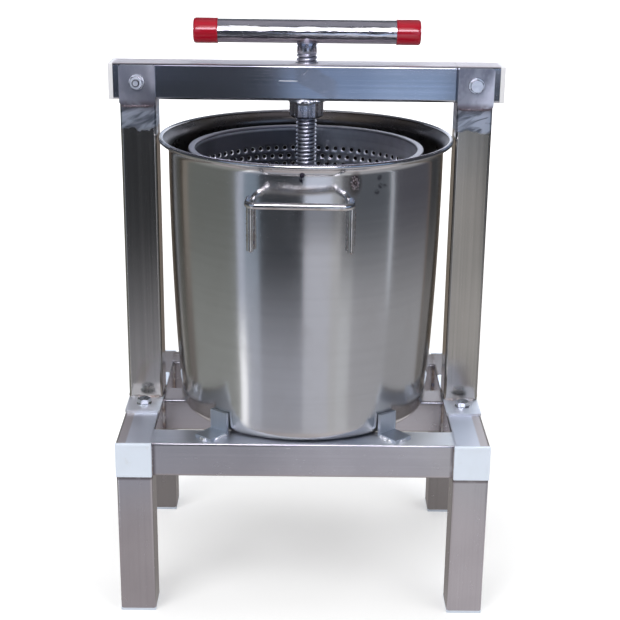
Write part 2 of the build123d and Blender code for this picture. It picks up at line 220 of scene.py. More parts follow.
def pick(piece, kind, test):
    """Go into edit mode with only the vertices, edges or faces that pass a test selected."""
    bpy.ops.object.mode_set(mode="EDIT")
    bpy.ops.mesh.select_mode(type=kind)
    bpy.ops.mesh.select_all(action="DESELECT")
    bpy.ops.object.mode_set(mode="OBJECT")
    mesh = piece.data
    for part in {"VERT": mesh.vertices, "EDGE": mesh.edges, "FACE": mesh.polygons}[kind]:
        part.select = test(part)
    bpy.ops.object.mode_set(mode="EDIT")


def pick_edges(piece, test):
    """Pick the edges whose lower and upper end lie at heights that pass a test."""
    pick(piece, "EDGE", lambda edge: test(*sorted(piece.data.vertices[end].co.z for end in edge.vertices)))


def smooth_under(angle):
    """Leave edit mode and smooth the edges that turn by less than an angle."""
    bpy.ops.object.mode_set(mode="OBJECT")
    bpy.ops.object.shade_smooth_by_angle(angle=math.radians(angle))


def take(*pieces):
    """Select only these pieces, the first one active."""
    bpy.ops.object.select_all(action="DESELECT")
    for piece in pieces:
        piece.select_set(True)
    bpy.context.view_layer.objects.active = pieces[0]


def copy_to(master, turn, place):
    """Copy a piece with a mesh of its own, turn it, move it and settle it there."""
    take(master)
    bpy.ops.object.duplicate()
    copy = bpy.context.object
    copy.rotation_euler = [math.radians(angle) for angle in turn]
    copy.location = place
    bpy.ops.object.transform_apply()
    return copy


def fit_out(piece, name, material, slot, body, *replaced):
    """Name a finished piece, give it its material and fix it to its body."""
    piece.name = piece.data.name = name
    piece.data.materials.clear()
    piece.data.materials.append(material)
    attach(piece, body)
    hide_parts(*replaced)
    return piece


def step_in(*steps):
    """Extrude the picked face in steps, each the share of its width that is left and a rise."""
    for share, rise in steps:
        bpy.ops.mesh.extrude_region_move(TRANSFORM_OT_translate={"value": (0.0, 0.0, rise)})
        bpy.ops.transform.resize(value=(share, share, 1.0), center_override=(0.0, 0.0, 0.0))


cap_width, cap_corner, plug_depth = 0.038, 0.001, 0.0115


def square_cap(thickness):
    """A cap that faces up from the plane z = 0, with its plug below."""
    cap = start_from(bpy.ops.mesh.primitive_cube_add, (cap_width, cap_width, thickness), size=1.0,
                     location=(0.0, 0.0, thickness / 2))
    pick_edges(cap, lambda low, high: high > low + 1e-5)
    bpy.ops.mesh.bevel(offset=cap_corner, segments=4, affect="EDGES")
    pick_edges(cap, lambda low, high: low > thickness - 1e-5)
    bpy.ops.mesh.bevel(offset=0.7 * cap_corner, segments=4, affect="EDGES")
    pick(cap, "FACE", lambda face: face.normal.z > 0.999)
    step_in((0.90, 0.0), (0.93, -0.00022), (0.60, -0.00008))
    pick(cap, "FACE", lambda face: face.normal.z < -0.9)
    step_in((0.87, 0.0), (1.0, -plug_depth))
    smooth_under(35)
    return cap


def fit_cap(master, thickness, node, name, turn, axis, on_high_side, finish):
    """Copy a cap to the place of a CAD cap, its face on the low or the high side of an axis."""
    low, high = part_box(node)
    seat = [(first + last) / 2 for first, last in zip(low, high)]
    seat[axis] = high[axis] - thickness if on_high_side else low[axis] + thickness
    fit_out(copy_to(master, turn, seat), name, finish, "white_plastic", "frame", node)


def moulded_white(name, clean, underside_shade):
    """White plastic with a fine grain, scuffs and a little grime."""
    material, place = new_finish(name)
    grain = noise(place, 2600.0, 2.0)
    scuffs = ease(noise(place, 90.0, 6.0), 0.6, 0.74)
    grime_and_shade = ease(noise(place, 26.0, 4.0), 0.48, 0.72)
    white = blend(0.35 * grime_and_shade, clean, underside_shade)
    white = blend(0.30 * scuffs, white, (0.62, 0.63, 0.66))
    apply_finish(place, grain, 0.00003, {"Base Color": white, "Coat Weight": 0.15,
                                         "Roughness": 0.34 + 0.12 * grain + 0.18 * scuffs})
    return material


white_plastic = moulded_white("white_plastic", (0.74, 0.81, 0.92), (0.66, 0.71, 0.78))
# The beam caps are the same plastic in a paler, warmer copy, painted light for how differently they are lit.
beam_lit_white = moulded_white("beam_lit_white", (0.80, 0.80, 0.83), (0.70, 0.69, 0.71))

rail_face, foot_face, beam_face = 0.004, 0.003, 0.005
rail_cap, foot_cap, beam_cap = [square_cap(face) for face in (rail_face, foot_face, beam_face)]
for corner in corners:
    rear = corner.startswith("rear")
    fit_cap(rail_cap, rail_face, f"rail_cap_{corner}", f"rail_end_{corner}",
            (-90 if rear else 90, 0, 0), 1, rear, white_plastic)
    fit_cap(foot_cap, foot_face, f"foot_cap_{corner}", f"foot_end_{corner}",
            (180, 0, 0), 2, False, white_plastic)
for side in sides:
    right = side == "right"
    fit_cap(beam_cap, beam_face, f"beam_cap_{side}", f"beam_end_{side}",
            (0, 90 if right else -90, 0), 0, right, beam_lit_white)
for master in (rail_cap, foot_cap, beam_cap):
    bpy.data.objects.remove(master)

# Base welds: short hand-laid beads where the rails meet and on the legs' tops. Each bead is a row
# of small ripples in bright metal that the heat has tinted straw and blue at its edges.


def weld_bead(start, end, width):
    """One bead: a rod along the seam, cut into short lengths that swell ripple by ripple."""
    run = Vector(end) - Vector(start)
    ripples = max(3, round(run.length / (0.6 * width)))
    bead = start_from(bpy.ops.mesh.primitive_cylinder_add, vertices=8, radius=width / 2, depth=run.length)
    pick_edges(bead, lambda low, high: high > low + 1e-5)
    bpy.ops.mesh.subdivide(number_cuts=3 * ripples - 1)
    bpy.ops.object.mode_set(mode="OBJECT")
    for vertex in bead.data.vertices:
        step = (vertex.co.z / run.length + 0.5) * ripples
        tail = min(1.0, 0.45 + 0.5 * min(step, ripples - step))
        swell = 0.95 + 0.13 * math.cos(math.tau * step) + 0.1 * math.sin(2.3 * step + 40.0 * run.length)
        vertex.co.x *= tail * swell
        vertex.co.y *= tail * swell
        vertex.co.x += 0.10 * width * math.sin(1.7 * step + 90.0 * start[2])
    bead.rotation_euler = run.to_track_quat("Z", "Y").to_euler()
    bead.location = (Vector(start) + Vector(end)) / 2
    bpy.ops.object.transform_apply()
    bpy.ops.object.shade_smooth()
    return bead


def joined(pieces):
    """Join pieces into one."""
    take(*pieces)
    bpy.ops.object.join()
    return bpy.context.object


def weld_row(name, seams, width, material, body):
    """Beads along several seams, joined into one piece."""
    beads = [weld_bead(start, end, width) for start, end in seams]
    return fit_out(joined(beads), name, material, "frame_steel", body)


def weld_finish(name, clean, burnt, blue, smooth):
    """Weld metal from a clean tone to a burnt one, and blue where it was hottest."""
    material, place = new_finish(name)
    beading = noise(place, 420.0, 4.0)
    heat = noise(place, 85.0, 2.0)
    tint = blend(ease(heat, 0.35, 0.7), clean, burnt)
    tint = blend(ease(heat, 0.6, 0.75), tint, blue)
    apply_metal(place, beading, 0.0005, tint, smooth + 0.20 * beading)
    return material


weld_metal = weld_finish("weld_metal", (0.62, 0.62, 0.63), (0.36, 0.27, 0.22), (0.20, 0.21, 0.30), 0.24)
bright_weld = weld_finish("bright_weld", (0.95, 0.96, 0.97), (0.84, 0.85, 0.88), (0.60, 0.62, 0.70), 0.24)

rail_end, outer_side, leg_front, leg_back, middle_face = 0.1593, 0.1973, 0.140, 0.102, 0.019
seams = []
for sign in (-1, 1):
    end = sign * rail_end
    for direction in (-1, 1):
        face, back = direction * leg_front, direction * leg_back
        seams.append(((end, face, rail_low + 0.003), (end, face, rail_top - 0.003)))
        for x in (end, sign * outer_side):
            seams.append(((x, 0.985 * face, rail_low), (x, 1.02 * back, rail_low)))
weld_row("base_flush_welds", seams, 0.0018, weld_metal, "frame")
seams = []
for sign in (-1, 1):
    end = sign * rail_end
    for face in (-leg_back, -middle_face, middle_face, leg_back):
        seams.append(((end, face, rail_low + 0.002), (end, face, rail_top - 0.002)))
    for face in (-leg_back, leg_back):
        seams.append(((sign * 0.1625, face, rail_low), (sign * 0.1940, face, rail_low)))
weld_row("base_corner_welds", seams, 0.0042, weld_metal, "frame")
fillings = []
for sign in (-1, 1):
    for middle in (-0.121, 0.0, 0.121):
        filling = start_from(bpy.ops.mesh.primitive_cube_add, (0.0038, 0.0372, 0.0030), size=1.0,
                             location=(sign * (rail_end + 0.0015), middle, rail_top - 0.0016))
        pick_edges(filling, lambda low, high: low > rail_top - 0.001)
        bpy.ops.mesh.bevel(offset=0.0006, segments=3, affect="EDGES")
        smooth_under(40)
        fillings.append(filling)
fit_out(joined(fillings), "ground_seams", cross_rail_steel, "frame_steel", "frame")

# Pot stops: four short lengths of angle on the front and rear rails. The upright leg touches the
# pot, and the foot is welded down with large bright beads and left as cut.
stop_steel = brushed_steel("stop_steel", 2, (0.56, 0.62, 0.70), (0.68, 0.73, 0.80), 0.34, 0.48)
dress(stop_steel, *[f"pot_stop_{corner}" for corner in corners])
turn = math.radians(39.0)
near, reach, stop_half = 0.1401, 0.1680, 0.0110
seams = []
for sign in (-1, 1):
    for direction in (-1, 1):
        outwards = Vector((sign * math.sin(turn), direction * math.cos(turn), 0.0))
        across = Vector((direction * math.cos(turn), -sign * math.sin(turn), 0.0))
        heel, toe = [outwards * far + Vector((0.0, 0.0, rail_top + 0.0008)) for far in (near, reach)]
        for edge in (-stop_half, stop_half):
            seams.append((heel + across * edge + outwards * 0.003, toe + across * edge - outwards * 0.006))
        seams.append((toe - across * 0.005, toe + across * 0.005))
weld_row("stop_welds", seams, 0.0046, bright_weld, "frame")

# Uprights: square tube welded on flat foot flanges that are bolted to the side rails. Under the
# beam's lugs the front and rear were ground, which left a pale swirled patch with a ragged edge.
upright_steel, place = new_finish("upright_steel")
height = axis_of(place, 2)
hair, streak = belt_grain(place, 2)
cloud = noise(place, (13.0, 13.0, 9.0), 4.0)
colour = blend(ease(0.5 * streak + 0.5 * cloud, 0.36, 0.64), (0.40, 0.385, 0.355), (0.48, 0.455, 0.42))
ragged = height + 0.016 * noise(place, 55.0, 2.0)
ground_and_sheen = ease(ragged, 0.5165, 0.5195)
strokes = place.node("Mapping", None, {"Vector": place, "Rotation": (0.0, 0.45, 0.0)})
spread = place.node("Mapping", None, {"Vector": strokes, "Scale": (32.0, 32.0, 125.0)})
swirl = place.node("TexNoise", None, {"Vector": spread, "Scale": 1.0, "Detail": 6.0, "Distortion": 1.1})
swirl = swirl + 2.2 * ease(axis_of(place, 0), 0.17, 0.20) * (swirl - 0.42)
colour = blend(0.9 * ground_and_sheen, colour, blend(ease(swirl, 0.34, 0.70), (0.13, 0.15, 0.18), (0.56, 0.60, 0.66)))
scorch_and_shade = ease(height, 0.5265, 0.5345)
colour = blend(0.55 * scorch_and_shade, colour, (0.20, 0.16, 0.16))
roughness = 0.11 + 0.06 * streak + 0.04 * hair + ground_and_sheen * (0.18 + 0.16 * swirl)
apply_metal(place, 0.05 * hair + 0.1 * streak + ground_and_sheen * swirl, 0.00008, colour, roughness)
dress(upright_steel, "upright_left", "upright_right")
flange_steel = brushed_steel("flange_steel", 1, (0.80, 0.83, 0.89), (0.90, 0.92, 0.96), 0.43, 0.55)
dress(flange_steel, "foot_flange_left", "foot_flange_right")
seams = []
for side in sides:
    low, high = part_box(f"upright_{side}")
    for y in (low.y, high.y):
        seams.append(((low.x + 0.002, y, low.z), (high.x - 0.002, y, low.z)))
    for x in (low.x + 0.0015, high.x - 0.0015):
        seams.append(((x, low.y + 0.003, low.z + 0.0006), (x, high.y - 0.003, low.z + 0.0006)))
weld_row("upright_foot_welds", seams, 0.0046, weld_metal, "frame")

# Cross beam: the same tube laid across the uprights between lug plates that are welded to their
# tops. A patch beside the screw was ground at a slant after the nut was welded under it.
beam_steel, place = new_finish("beam_steel")
hair = noise(place, (16.0, 1500.0, 1500.0), 2.0)
streak = noise(place, (3.0, 420.0, 420.0), 3.0)
cloud = noise(place, (9.0, 26.0, 26.0), 4.0)
colour = blend(ease(0.55 * streak + 0.45 * cloud, 0.36, 0.64), (0.46, 0.48, 0.51), (0.53, 0.55, 0.59))
along, height = axis_of(place, 0), axis_of(place, 2)
slant = abs(along - 0.012 + 0.9 * (height - 0.560)) + abs(height - 0.562)
sanded = fade(slant + 0.010 * noise(place, 80.0, 3.0), 0.022, 0.030)
turned = place.node("Mapping", None, {"Vector": place, "Rotation": (0.0, 0.75, 0.0)})
scratch = noise(turned, (40.0, 900.0, 900.0), 3.0)
colour = blend(0.55 * sanded, colour, blend(scratch, (0.30, 0.31, 0.34), (0.55, 0.57, 0.62)))
roughness = 0.11 + 0.06 * streak + 0.04 * hair + 0.16 * sanded * scratch
in_front = fade(axis_of(place, 1), -0.0185, -0.0150)
nick = fade(abs(height - 0.5622), 0.0003, 0.0008) * fade(abs(along + 0.0195), 0.008, 0.011)
colour = blend(in_front * nick, colour, (0.95, 0.96, 0.98))
roughness = roughness + 0.28 * in_front * nick
# Darker and bluer on the front to the right of the screw.
darker_right_of_screw = fade(abs(along - 0.034), 0.016, 0.062)
colour = blend(0.36 * darker_right_of_screw, colour, (0.22, 0.25, 0.31))
# Painted shadow: a dark line along the front top edge on the left, under the left grip, and a painted shade
# where the beam meets the right lugs.
dullness_and_shade = in_front * ease(height, 0.5750, 0.5765) * fade(along, -0.07, -0.01)
dullness_and_shade = dullness_and_shade + fade(abs(along - 0.1580), 0.0006, 0.0013)
colour = blend(0.85 * dullness_and_shade, colour, (0.07, 0.07, 0.09))
# Painted sheen: the top face is painted a light pink and made rougher.
flat = ease(height, 0.5780, 0.5788)
colour = blend(0.8 * flat, colour, (0.80, 0.72, 0.72))
roughness = roughness + 0.30 * flat
apply_metal(place, 0.1 * hair + 0.2 * streak + sanded * scratch, 0.00005, colour, roughness)
dress(beam_steel, "cross_beam")
lug_steel, place = new_finish("lug_steel")
hair = noise(place, (1500.0, 1500.0, 16.0), 2.0)
rubbed = noise(place, (110.0, 110.0, 70.0), 5.0)
across, height = axis_of(place, 0), axis_of(place, 2)
# Painted light: the left lugs are painted lighter than the right ones.
colour = blend(ease(across, -0.01, 0.01), (0.44, 0.44, 0.48), (0.29, 0.29, 0.32))
colour = blend(0.5 * ease(rubbed, 0.36, 0.64), colour, (0.60, 0.59, 0.62))
# Painted highlight on the lower right of the right lugs, and a paler strip along the right edge of the left
# lug.
slope = 1.3 * (across - 0.178) - 0.7 * (height - 0.560) + 0.018 * rubbed
pale = ease(slope, 0.010, 0.036)
on_left = fade(across, -0.10, -0.05)
pale_right_edge = on_left * ease(across + 0.004 * rubbed, -0.1670, -0.1600)
pale = pale + 0.4 * pale_right_edge * ease(height + 0.008 * rubbed, 0.546, 0.566)
# Painted shade on the lower left of the left lug.
painted_shade_lug = on_left * ease(across, -0.190, -0.172) * fade(height, 0.550, 0.564)
colour = blend(0.6 * painted_shade_lug, colour, (0.26, 0.26, 0.29))
colour = blend(0.9 * pale, colour, (0.90, 0.89, 0.93))
scorch_and_shade = fade(height, 0.5365, 0.5425) * ease(noise(place, 70.0, 3.0), 0.25, 0.55)
colour = blend(0.75 * scorch_and_shade, colour, (0.17, 0.13, 0.14))
apply_metal(place, 0.4 * hair + 0.6 * rubbed, 0.00004, colour, 0.30 + 0.12 * rubbed + 0.08 * pale)
dress(lug_steel, *[f"beam_lug_{corner}" for corner in corners])
seams = []
for corner in corners:
    low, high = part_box(f"beam_lug_{corner}")
    y = high.y - 0.0012 if corner.startswith("front") else low.y + 0.0012
    seams.append(((low.x + 0.002, y, low.z - 0.0008), (high.x - 0.002, y, low.z - 0.0008)))
dark_weld = weld_finish("dark_weld", (0.34, 0.29, 0.31), (0.18, 0.13, 0.13), (0.10, 0.09, 0.12), 0.48)
weld_row("lug_welds", seams, 0.0050, dark_weld, "frame")

# Bolts: zinc-plated hex bolts with flat washers and nuts hold the flanges to the rails and the
# beam in its lugs. The left beam bolt was put in from behind, so its nut is in front.


def draw(section):
    """Draw a section as an open line of radii and heights, point by point, and stay in edit mode."""
    line = start_from(bpy.ops.mesh.primitive_plane_add, size=0.01)
    bpy.ops.object.mode_set(mode="EDIT")
    bpy.ops.mesh.select_mode(type="VERT")
    bpy.ops.mesh.select_all(action="SELECT")
    bpy.ops.mesh.merge(type="CENTER")
    bpy.ops.transform.translate(value=(section[0][0], 0.0, section[0][1]))
    for here, there in zip(section, section[1:]):
        step = (there[0] - here[0], 0.0, there[1] - here[1])
        bpy.ops.mesh.extrude_vertices_move(TRANSFORM_OT_translate={"value": step})
    return line


def heal():
    """Merge the points that lie on each other, and turn the faces outwards."""
    bpy.ops.mesh.select_all(action="SELECT")
    bpy.ops.mesh.remove_doubles(threshold=0.000005)
    bpy.ops.mesh.normals_make_consistent(inside=False)


def lathe(section, steps, closed):
    """Draw a section and spin it round the z axis."""
    piece = draw(list(section) + ([section[0]] if closed else []))
    bpy.ops.mesh.select_all(action="SELECT")
    bpy.ops.mesh.spin(steps=steps, angle=math.tau, center=(0.0, 0.0, 0.0), axis=(0.0, 0.0, 1.0))
    heal()
    smooth_under(38)
    return piece


def shape_by(piece, kind, **settings):
    """Shape a piece by a modifier of a kind, and apply it."""
    take(piece)
    modifier = piece.modifiers.new(kind, kind)
    for name, value in settings.items():
        setattr(modifier, name, value)
    bpy.ops.object.modifier_apply(modifier=kind)


def cut(piece, operation, tool):
    """Shape a piece with another one, which is used up."""
    shape_by(piece, "BOOLEAN", operation=operation, object=tool, solver="EXACT")
    bpy.data.objects.remove(tool)


def hex_block(across, low, high, chamfers):
    """A hexagon of a width across its flats, its corners turned off at the top, or at both ends."""
    corner = across / 2 / math.cos(math.radians(30))
    face, clear = 0.97 * across / 2, corner + 0.0001
    drop = (corner - face) * 0.58
    block = start_from(bpy.ops.mesh.primitive_cylinder_add, vertices=6, radius=corner, depth=high - low,
                       location=(0.0, 0.0, (low + high) / 2), rotation=(0.0, 0.0, math.radians(30)))
    if chamfers == 2:
        outline = [(0.0, low), (face, low), (clear, low + drop)]
    else:
        outline = [(0.0, low - 0.001), (clear, low - 0.001)]
    outline += [(clear, high - drop), (face, high), (0.0, high)]
    cut(block, "INTERSECT", lathe(outline, 48, False))
    smooth_under(25)
    return block


def threaded(radius, pitch, low, high):
    """Section of a threaded rod's end, from its low end up to a rounded tip."""
    points = [(0.0, low), (radius, low)]
    turns = int((high - low - 0.001) / pitch)
    start = high - 0.001 - turns * pitch
    for ring in range(turns):
        points += [(radius - 0.0007, start + ring * pitch), (radius, start + (ring + 0.5) * pitch)]
    return points + [(radius - 0.0007, high - 0.0008), (radius - 0.0012, high), (0.0, high)]


def also_dress(piece, material, test):
    """Give the faces of a piece that pass a test a second finish."""
    piece.data.materials.append(material)
    for face in piece.data.polygons:
        if test(face):
            face.material_index = 1


def zinc_plate(name, smooth):
    """Zinc plating, bright with duller clouds and a fine spangle."""
    material, place = new_finish(name)
    spangle = noise(place, 700.0, 3.0)
    dullness_and_shade = ease(noise(place, 130.0, 4.0), 0.42, 0.68)
    bright = blend(dullness_and_shade, (0.92, 0.94, 0.97), (0.78, 0.81, 0.86))
    apply_metal(place, spangle, 0.00005, bright, smooth + 0.14 * dullness_and_shade)
    return material


zinc = {"foot": zinc_plate("foot_zinc", 0.18), "beam": zinc_plate("beam_zinc", 0.36)}
# Painted shade: a darker, mottled copy of the zinc for the sides and chamfers of the beam's bolts, nuts and
# washers.
shaded_zinc, place = new_finish("shaded_zinc")
shade_mottle = ease(noise(place, 160.0, 4.0), 0.40, 0.66)
dark = blend(shade_mottle, (0.34, 0.35, 0.38), (0.16, 0.16, 0.18))
apply_metal(place, shade_mottle, 0.00004, dark, 0.24 + 0.16 * shade_mottle)

hex_width, head_height, nut_height, washer_height, stud_end = 0.013, 0.0053, 0.0065, 0.0016, 0.003
bolt_head = hex_block(hex_width, washer_height, washer_height + head_height, 1)
nut_master = hex_block(hex_width, washer_height, washer_height + nut_height, 2)
washer_master = lathe([(0.0043, 0.0), (0.0083, 0.0), (0.0085, 0.0002), (0.0085, 0.0013), (0.0082, 0.0016),
                       (0.0046, 0.0016), (0.0043, 0.0013)], 40, True)
stud_top = washer_height + nut_height + stud_end
stud_master = lathe(threaded(0.004, 0.00125, 0.0, stud_top), 24, False)
shank_master = lathe([(0.0, -0.020), (0.004, -0.020), (0.004, 0.002), (0.0, 0.002)], 24, False)

bolt_x, foot_bolt_y, flange_top, lug_face, beam_bolt_z = 0.1783, 0.039, 0.203, 0.023, 0.560
joints = {"foot": [], "beam": []}
for x in (-bolt_x, bolt_x):
    for y in (-foot_bolt_y, foot_bolt_y):
        joints["foot"].append((((0, 0, 0), (x, y, flange_top)), ((180, 0, 0), (x, y, rail_low))))
    front, rear = ((90, 0, 0), (x, -lug_face, beam_bolt_z)), ((-90, 0, 0), (x, lug_face, beam_bolt_z))
    joints["beam"].append((front, rear) if x > 0 else (rear, front))
for kind, places in joints.items():
    groups = {"bolts": [], "washers": [], "nuts": []}
    for index, (head, tail) in enumerate(places):
        parts = ((bolt_head, "bolts", head), (shank_master, "bolts", head),
                 (stud_master, "bolts", tail), (nut_master, "nuts", tail),
                 (washer_master, "washers", head), (washer_master, "washers", tail))
        for master, group, (turn, seat) in parts:
            twisted = copy_to(master, (0, 0, 11 + 17 * index), (0.0, 0.0, 0.0))
            groups[group].append(copy_to(twisted, turn, seat))
            bpy.data.objects.remove(twisted)
    for name, group in groups.items():
        node = f"{kind}_{name}"
        piece = fit_out(joined(group), f"{node}_zinc", zinc[kind], "zinc_steel", "frame", node)
        # Painted shade on the faces of the beam's bolts, nuts and washers that don't face along the bolt.
        also_dress(piece, shaded_zinc, lambda face: kind == "beam" and abs(face.normal.y) < 0.9)
for master in (bolt_head, nut_master, washer_master, stud_master, shank_master):
    bpy.data.objects.remove(master)

# Screw nut: a large hex nut welded under the beam all round, its corners turned off. It is the
# fixed thread that the screw works in.
nut_steel, place = new_finish("nut_steel")
low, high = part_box("screw_nut")
drawn = noise(place, (420.0, 420.0, 14.0), 3.0)
stain = ease(noise(place, 75.0, 4.0), 0.5, 0.75)
colour = blend(ease(drawn, 0.40, 0.62), (0.30, 0.31, 0.34), (0.78, 0.80, 0.86))
colour = blend(0.5 * stain, colour, (0.30, 0.25, 0.22))
# Painted shade: the bottom of the nut is painted nearly black.
grime_and_shade = fade(axis_of(place, 2), low.z + 0.0012, low.z + 0.0024)
colour = blend(0.92 * grime_and_shade, colour, (0.02, 0.02, 0.025))
apply_metal(place, drawn, 0.00008, colour, 0.20 + 0.14 * stain + 0.12 * drawn)
nut_block = hex_block(high.y - low.y, low.z, high.z, 2)
bore, lead_in = 0.01135, 0.0030
bore_section = [(0.0, low.z - 0.002), (bore + lead_in, low.z - 0.002), (bore, low.z + 0.0014),
                (bore, high.z - 0.0012), (bore + lead_in, high.z + 0.002), (0.0, high.z + 0.002)]
cut(nut_block, "DIFFERENCE", lathe(bore_section, 48, False))
smooth_under(25)
fit_out(nut_block, "screw_nut_hex", nut_steel, "screw_steel", "frame", "screw_nut")
nut_weld = start_from(bpy.ops.mesh.primitive_torus_add, major_radius=0.0172, minor_radius=0.0026,
                      major_segments=132, minor_segments=8, location=(0.0, 0.0, high.z - 0.0006))
for vertex in nut_weld.data.vertices:
    bearing = math.atan2(vertex.co.y, vertex.co.x)
    ripple = 1 + 0.05 * math.cos(44 * bearing) + 0.07 * math.sin(7 * bearing + 1.0)
    ripple += 0.05 * math.cos(6 * bearing)
    vertex.co.x *= ripple
    vertex.co.y *= ripple
bpy.ops.object.shade_smooth()
fit_out(nut_weld, "screw_nut_weld", bright_weld, "frame_steel", "frame")
front_seam = ((-0.0105, -0.0166, high.z - 0.002), (0.0065, -0.0166, high.z - 0.002))
weld_row("nut_front_weld", [front_seam], 0.0072, bright_weld, "frame")

# Pot: a deep stock pot of thin polished stainless sheet that stands on the rails. Its wall narrows
# to a rounded foot, and its edge is flared and rolled. It has a patch of weld and a few dark specks
# under the rim, and a painted shade under the front handle.


def wall_radius(height):
    """Outer radius of the pot's wall at a height above its foot."""
    return pot_radius - wall_sweep + math.sqrt(wall_sweep**2 - (wall_height - height) ** 2)


def arc(centre, radius, first, last, steps):
    """Points on an arc of a section, between two angles in degrees."""
    angles = [math.radians(first + (last - first) * step / steps) for step in range(steps + 1)]
    return [(centre[0] + radius * math.cos(a), centre[1] + radius * math.sin(a)) for a in angles]


def inside_pot(face):
    """Whether a face of the pot looks inwards or up, above the sheet of its floor and within its rim."""
    inwards = face.normal.xy.dot(face.center.xy) < 0.0 or face.normal.z > 0.7
    return inwards and face.center.z > pot_foot + 0.0012 and face.center.xy.length < bead_inside


pot_radius, wall_height, wall_sweep, sheet = 0.148, 0.2881, 4.155, 0.0015
pot_foot, foot_round, flare, bead = 0.200, 0.012, 0.01106, 0.0025
foot_centre = (0.1268, pot_foot + foot_round)
flare_centre = (pot_radius + flare, pot_foot + wall_height)
bead_centre, bead_inside = (0.156, pot_foot + wall_height + 0.0114), 0.1537
heights = [0.0125 + (wall_height - 0.0125) * step / 14 for step in range(15)]
section = [(0.0, pot_foot), (0.060, pot_foot), (0.110, pot_foot)]
section += arc(foot_centre, foot_round, -90, -5, 8)
section += [(wall_radius(height), pot_foot + height) for height in heights]
section += arc(flare_centre, flare, 172, 114, 6)
section += arc(bead_centre, bead, 212, 537, 18)
section += arc(flare_centre, flare + sheet, 114, 172, 6)
section += [(wall_radius(height) - sheet, pot_foot + height) for height in reversed(heights)]
section += arc(foot_centre, foot_round - sheet, -5, -90, 8)
section += [(0.110, pot_foot + sheet), (0.060, pot_foot + sheet), (0.0, pot_foot + sheet)]
pot = lathe(section, 192, False)

pot_steel, place = new_finish("pot_steel")
lines = noise(place, (7.0, 7.0, 1500.0), 2.0)
bands = noise(place, (2.0, 2.0, 170.0), 3.0)
waves = noise(place, (10.0, 10.0, 5.0), 1.0)
smears = ease(noise(place, (38.0, 38.0, 22.0), 5.0), 0.46, 0.72)
colour = blend(ease(0.3 * bands + 0.7 * waves, 0.35, 0.65), (0.60, 0.60, 0.60), (0.64, 0.64, 0.64))
colour = blend(0.12 * smears, colour, (0.50, 0.48, 0.45))
ragged = ease(noise(place, 420.0, 3.0), 0.30, 0.56)
weld_x, weld_y, weld_z, squash = 0.0490, -0.1397, 0.4812, 0.55
flattened = place.node("VectorMath", {"operation": "MULTIPLY"}, {0: place, 1: (1.0, 1.0, squash)})
reach = from_point(flattened, (weld_x, weld_y, squash * weld_z))
burn = fade(reach, 0.0046, 0.0085)
filled = fade(reach + 0.0012 * ragged, 0.0042, 0.0058)
grains = filled * ease(noise(place, 640.0, 2.0), 0.50, 0.60)
colour = blend(0.60 * burn, colour, (0.20, 0.16, 0.15))
colour = blend(0.70 * filled, colour, (0.13, 0.08, 0.08))
colour = blend(0.75 * grains, colour, (0.90, 0.80, 0.80))
spots = fade(from_point(place, (-0.0036, -0.1485, 0.4905)), 0.0020, 0.0034)
specks = [((-0.0043, -0.1479, 0.4868), 0.0032), ((-0.0050, -0.1479, 0.4836), 0.0028),
          ((0.0733, -0.1286, 0.4843), 0.0033), ((0.0743, -0.1280, 0.4759), 0.0032),
          ((0.0790, -0.1252, 0.4757), 0.0024), ((0.0709, -0.1299, 0.4699), 0.0033)]
for point, size in specks:
    spots = spots + 0.75 * ragged * fade(from_point(place, point), 0.4 * size, 1.2 * size)
colour = blend(0.92 * spots, colour, (0.07, 0.06, 0.09))
height, in_front = axis_of(place, 2), fade(axis_of(place, 1), -0.11, -0.04)
# Painted reflection: the top of the rolled edge at the front is painted dark.
painted_crest_shade = in_front * ease(height, bead_centre[1] + 0.0015, bead_centre[1] + 0.0022)
colour = blend(0.72 * painted_crest_shade, colour, (0.17, 0.16, 0.21))
# Painted shade under the front handle, on the wall below the rod.
dullness_and_shade = in_front * ease(height, 0.400, 0.4555) * fade(height, 0.458, 0.461)
dullness_and_shade = dullness_and_shade * fade(abs(axis_of(place, 0) - 0.013), 0.014, 0.030)
colour = blend(0.58 * dullness_and_shade, colour, (0.03, 0.03, 0.035))
foot_wear = fade(height, 0.206, 0.222)
roughness = 0.14 + 0.03 * bands + 0.04 * smears + 0.06 * foot_wear
apply_metal(place, 0.01 * lines + 0.02 * bands + waves + 0.3 * grains, 0.0005, colour, roughness)
fit_out(pot, "pot_spun", pot_steel, "polished_steel", "frame", "pot_side", "pot_foot", "pot_floor", "pot_rim")
# Painted shade: the inside is a much darker, mottled copy of the pot's steel, darker still near the top
# except at the back.
pot_inside_shaded, place = new_finish("pot_inside_shaded")
inside_mottle = ease(noise(place, (24.0, 24.0, 60.0), 5.0), 0.35, 0.65)
colour = blend(inside_mottle, (0.17, 0.155, 0.15), (0.10, 0.085, 0.075))
shaded_flare = ease(axis_of(place, 2), 0.4860, 0.4905) * fade(axis_of(place, 1), 0.03, 0.10)
colour = blend(0.75 * shaded_flare, colour, (0.045, 0.043, 0.052))
apply_metal(place, inside_mottle, 0.00006, colour, 0.20 + 0.14 * inside_mottle + 0.08 * shaded_flare)
also_dress(pot, pot_inside_shaded, inside_pot)

# Pot handles: bent round rod, its two legs laid on the wall and welded along both sides, with a
# lump of weld at each lower end.
rod_steel, place = new_finish("rod_steel")
drawn = noise(place, 300.0, 3.0)
patch = ease(noise(place, 60.0, 3.0), 0.42, 0.66)
colour = blend(patch, (0.68, 0.67, 0.66), (0.50, 0.47, 0.43))
apply_metal(place, drawn, 0.00008, colour, 0.14 + 0.14 * patch)
dress(rod_steel, "pot_handle_front", "pot_handle_rear")
skew, leg_half, leg_low, leg_high = math.radians(1.9), 0.0505, 0.4116, 0.4550


